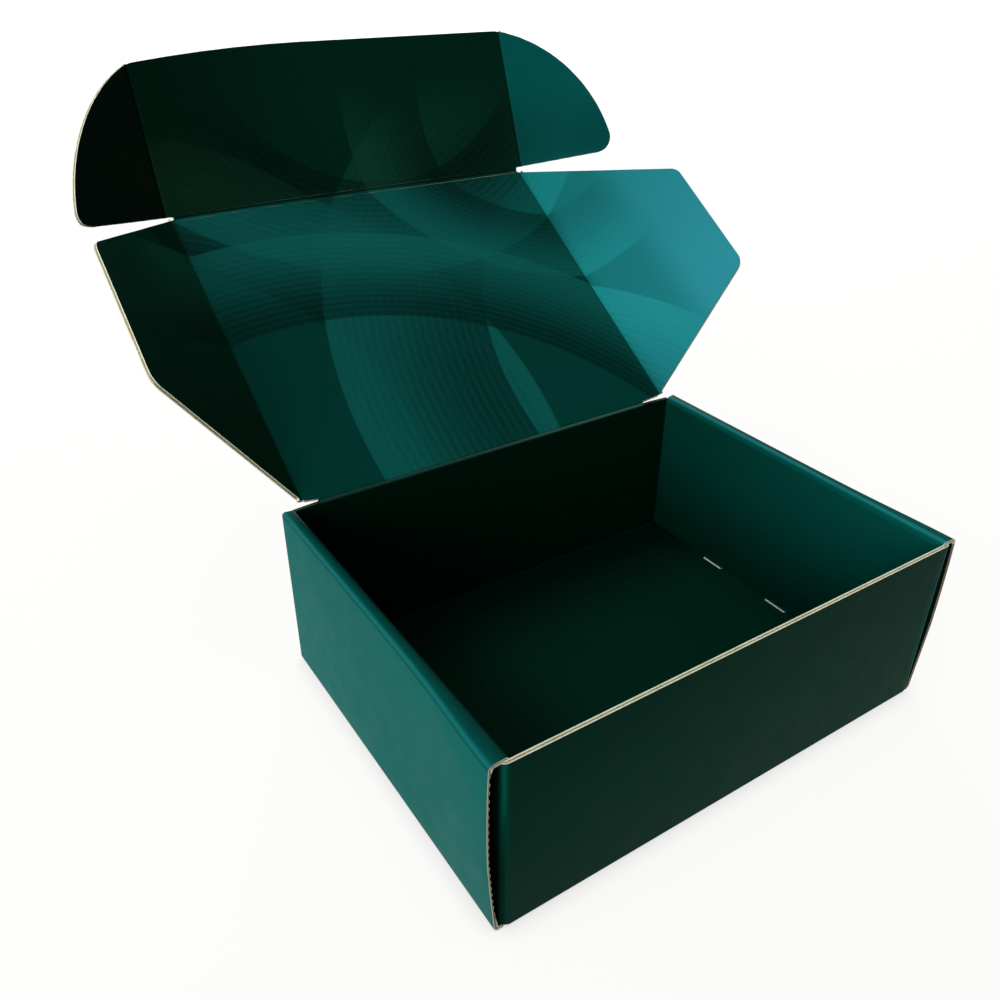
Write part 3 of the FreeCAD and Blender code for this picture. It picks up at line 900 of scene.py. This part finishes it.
def inside_print(m, u, v, ground):
    """Overlapping bands with fine lines over the lid, and a right-hand end painted paler as painted light.
    """
    colour = ground
    for k, (cu, cv, radius, width, strength) in enumerate(BANDS):
        du, dv = m.math("SUBTRACT", u, cu), m.math("SUBTRACT", v, cv)
        far = m.math("SQRT", m.math("ADD", m.times(du, du), m.times(dv, dv)))
        off = m.math("SUBTRACT", far, radius)
        inside = m.window(off, -width, width)
        ripple = m.math("SINE", m.times(far, BAND_LINES + BAND_LINES_STEP * k))
        tone = m.math("ADD", m.ramp(off, -width, width), m.times(ripple, BAND_LINES_DEPTH))
        band = m.mix(tone, BAND_DARK, BAND_LIGHT)
        colour = m.mix(m.times(inside, strength * BAND_STRENGTH), colour, band)
    # the bands fade out over the flaps, at the lid's crease and near the tuck flap's free edge
    edge_u = m.ramp(m.math("ABSOLUTE", u), 0.150, 0.118)
    edge_v = m.times(m.ramp(v, -0.002, 0.0), m.ramp(v, 0.215, 0.17))
    colour = m.mix(m.times(edge_u, edge_v), ground, colour)
    # painted light on the right-hand flaps
    lit_flank = m.mix(m.ramp(v, 0.150, 0.164), LIT_FLANK, LIT_FLANK_EAR)
    share = m.times(m.ramp(u, 0.090, 0.104), m.ramp(edge_u, 1.0, 0.0, 0.55, 1.0))
    return m.mix(m.times(share, m.ramp(v, -0.010, -0.002)), colour, lit_flank)


def laminate(name, deep, pale, inner):
    """Printed and laminated liner: satin film over faint flute lines and paper grain."""
    m = Nodes(bpy.data.materials.new(name))
    u, v = m.sheet()
    wide = m.math("ABSOLUTE", u)
    place = m.add("ShaderNodeTexCoord").outputs["Object"]
    cloud, grain, fine = m.noise(place, 7.0, 2.0), m.noise(place, 1500.0, 2.0), m.noise(place, 110.0, 3.0)
    colour = m.mix(m.ramp(cloud, 0.3, 0.7), deep, pale)
    if inner:
        colour = inside_print(m, u, v, colour)
    # painted shade and painted light, by area
    for (u0, u1, v0, v1), change, tint in PAINTED_SHADE_AND_LIGHT[inner]:
        inside = m.times(m.window(u, u0, u1), m.window(v, v0, v1))
        if change:
            axis, start, full = change
            inside = m.times(inside, m.ramp({"across": u, "along": v, "wide": wide}[axis], start, full))
        colour = m.tint(inside, colour, tint)
    # painted light along the slots' near edges
    for low, high in SLOT_EDGES:
        slot_light = m.times(m.window(wide, *SLOT_EDGE_WIDE, 0.0002), m.window(v, low, high))
        colour = m.mix(slot_light, colour, PAINTED_SLOT_LIGHT)
    if inner:
        # painted highlight along the lid's crease
        line = m.times(m.window(v, *LID_HIGHLIGHT_ALONG, 0.0003), m.window(u, *LID_HIGHLIGHT_ACROSS))
        colour = m.mix(m.times(line, m.ramp(u, -0.06, 0.08, 0.25, 0.9)), colour, LID_CREASE_HIGHLIGHT)
    # painted shade on the rolled tops, and a painted highlight along one fold of each
    colour = m.tint(m.window(wide, *ROLL_TOP, 0.0004), colour, ROLL_SHADE)
    for low, high, strength in ROLL_LIGHT:
        colour = m.mix(m.times(m.window(u, low, high, 0.0009), strength), colour, ROLL_HIGHLIGHT_COLOUR)
    colour = m.mix(m.ramp(grain, 0.3, 0.8, 0.0, 0.03), colour, GRAIN)
    # relief: flute lines that show through, slow unevenness, and the paper's grain
    lines = m.math("SINE", m.times(u, math.tau / (PITCH * MM)))
    height = m.math("MULTIPLY_ADD", fine, 1.2, m.times(grain, 0.12))
    height = m.math("MULTIPLY_ADD", lines, 0.18, height)
    bump = m.add("ShaderNodeBump", in_Strength=0.05, in_Distance=0.0004, in_Height=height)
    m.set(
        Base_Color=colour,
        Normal=bump.outputs[0],
        Roughness=m.ramp(fine, 0.3, 0.7, *FILM_ROUGH),
        Specular_IOR_Level=GLOSS,
        Specular_Tint=GLOSS_TINT,
    )
    return m.owner


# The back wall's upper cut edge is darker, and the right-hand panel's front cut edge is darkened as
# painted shade.
DARK_BACK_EDGE_ALONG, DARK_BACK_EDGE_TINT = (-0.3945, -0.38), (0.02, 0.05, 0.04)
SHADED_EDGE_ACROSS, SHADED_EDGE_ALONG, SHADED_EDGE_TINT = (0.301, 0.3755), (-0.581, -0.578), (0.42, 0.33, 0.26)


def paper(name, deep, pale, roughness):
    """Bare board: fibres and a little dust, for cut edges and flutes."""
    m = Nodes(bpy.data.materials.new(name))
    u, v = m.sheet()
    place = m.add("ShaderNodeTexCoord").outputs["Object"]
    blot, fibre = m.noise(place, 160.0, 4.0), m.noise(place, 2600.0, 2.0)
    share = m.math("ADD", m.ramp(blot, 0.3, 0.7, 0.0, 0.6), m.times(fibre, 0.4))
    colour = m.mix(share, deep, pale)
    # the back wall's upper cut edge is darker
    colour = m.tint(m.window(v, *DARK_BACK_EDGE_ALONG), colour, DARK_BACK_EDGE_TINT)
    # painted shade on the right-hand panel's front cut edge
    shaded_edge = m.times(m.window(u, *SHADED_EDGE_ACROSS), m.window(v, *SHADED_EDGE_ALONG, 0.0003))
    colour = m.tint(shaded_edge, colour, SHADED_EDGE_TINT)
    bump = m.add("ShaderNodeBump", in_Strength=0.4, in_Distance=0.0001, in_Height=fibre)
    m.set(Base_Color=colour, Normal=bump.outputs[0], Roughness=roughness, Specular_IOR_Level=0.2)
    return m.owner


outside = laminate("satin_outside", srgb(0, 98, 91), srgb(1, 103, 96), inner=False)
inside = laminate("satin_inside", srgb(0, 92, 84), srgb(1, 98, 90), inner=True)
raw = paper("cut_liner", srgb(230, 230, 200), srgb(249, 250, 232), 0.85)
flute = paper("flute_paper", srgb(176, 168, 128), srgb(218, 210, 170), 0.9)

boards = {"tray": tray, "lid_panel": lid, "tuck_flap": tuck}
for start in ("side_flap_", "tuck_ear_"):
    for side, word in SIDES:
        boards[start + word] = flaps[start + word]
for body, piece in boards.items():
    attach(piece, body)
    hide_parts(body)
for piece in list(boards.values()) + creases:
    for material in (outside, inside, raw, flute):
        piece.data.materials.append(material)

# ---------------------------------------------------------------- floor, light and background
WHITE = (1.0, 1.0, 0.985, 1)
# The floor's own colour is dark, so that little of it shines up onto the box. Seen directly it
# glows pale, less so right beside the box, which is a painted contact shadow, and more so far away,
# where it meets the background.
FLOOR_TONE, FLOOR_GLOW, FAR_GLOW = 0.10, 0.90, 0.98
CONTACT_REACH, CONTACT_SHADE = 0.009, 0.24
FAR_FROM, FAR_TO = 0.9, 4.0
AMBIENT = 0.07
# Soft lamps: direction from the box, and power. All are LAMP_FAR from AIM and LAMP_SIZE across.
LAMP_FAR, LAMP_SIZE = 4.0, 2.25
AIM = Vector((0, 0.05, 0.08))
LAMPS = (
    ("left_low", (-0.989, 0, 0.148), 34),
    ("left_high", (-0.574, 0, 0.819), 28),
    ("back_left", (-0.681, 0.681, 0.272), 62),
    ("back_right", (0.491, 0.834, 0.253), 100),
    ("front_left", (-0.755, -0.566, 0.331), 68),
    ("top", (0, 0, 1), 37),
)

bpy.ops.mesh.primitive_plane_add(size=90, location=(0, 0, -0.0001))
floor = bpy.context.active_object
floor.name = "floor"
m = Nodes(bpy.data.materials.new("pale_floor"))
# painted contact shadow: the floor's glow dims where the box is near
contact = m.add("ShaderNodeAmbientOcclusion", samples=8, in_Distance=CONTACT_REACH).outputs["AO"]
glow = m.ramp(contact, 0.0, 1.0, FLOOR_GLOW - CONTACT_SHADE, FLOOR_GLOW)
place = m.add("ShaderNodeTexCoord").outputs["Object"]
far = m.add("ShaderNodeVectorMath", operation="LENGTH", in_0=place).outputs["Value"]
glow = m.math("ADD", glow, m.ramp(far, FAR_FROM, FAR_TO, 0.0, FAR_GLOW - FLOOR_GLOW))
m.set(
    Base_Color=(FLOOR_TONE, FLOOR_TONE, FLOOR_TONE, 1),
    Roughness=0.9,
    Specular_IOR_Level=0.1,
    Emission_Color=WHITE,
    Emission_Strength=m.times(m.seen(), glow),
)
floor.data.materials.append(m.owner)

w = Nodes(bpy.data.worlds.new("studio"))
bpy.context.scene.world = w.owner
background = w.tree.nodes["Background"]
w.put(WHITE, background.inputs["Color"])
w.put(w.ramp(w.seen(), 0.0, 1.0, AMBIENT, 1.0), background.inputs["Strength"])

for name, direction, power in LAMPS:
    light = bpy.data.lights.new(name, "AREA")
    light.shape = "SQUARE"
    light.size = LAMP_SIZE
    light.energy = power
    thing = bpy.data.objects.new(name, light)
    bpy.context.scene.collection.objects.link(thing)
    thing.location = AIM + Vector(direction).normalized() * LAMP_FAR
    thing.rotation_euler = (AIM - thing.location).to_track_quat("-Z", "Y").to_euler()
    thing.visible_camera = False

bpy.context.scene.view_settings.view_transform = "Standard"
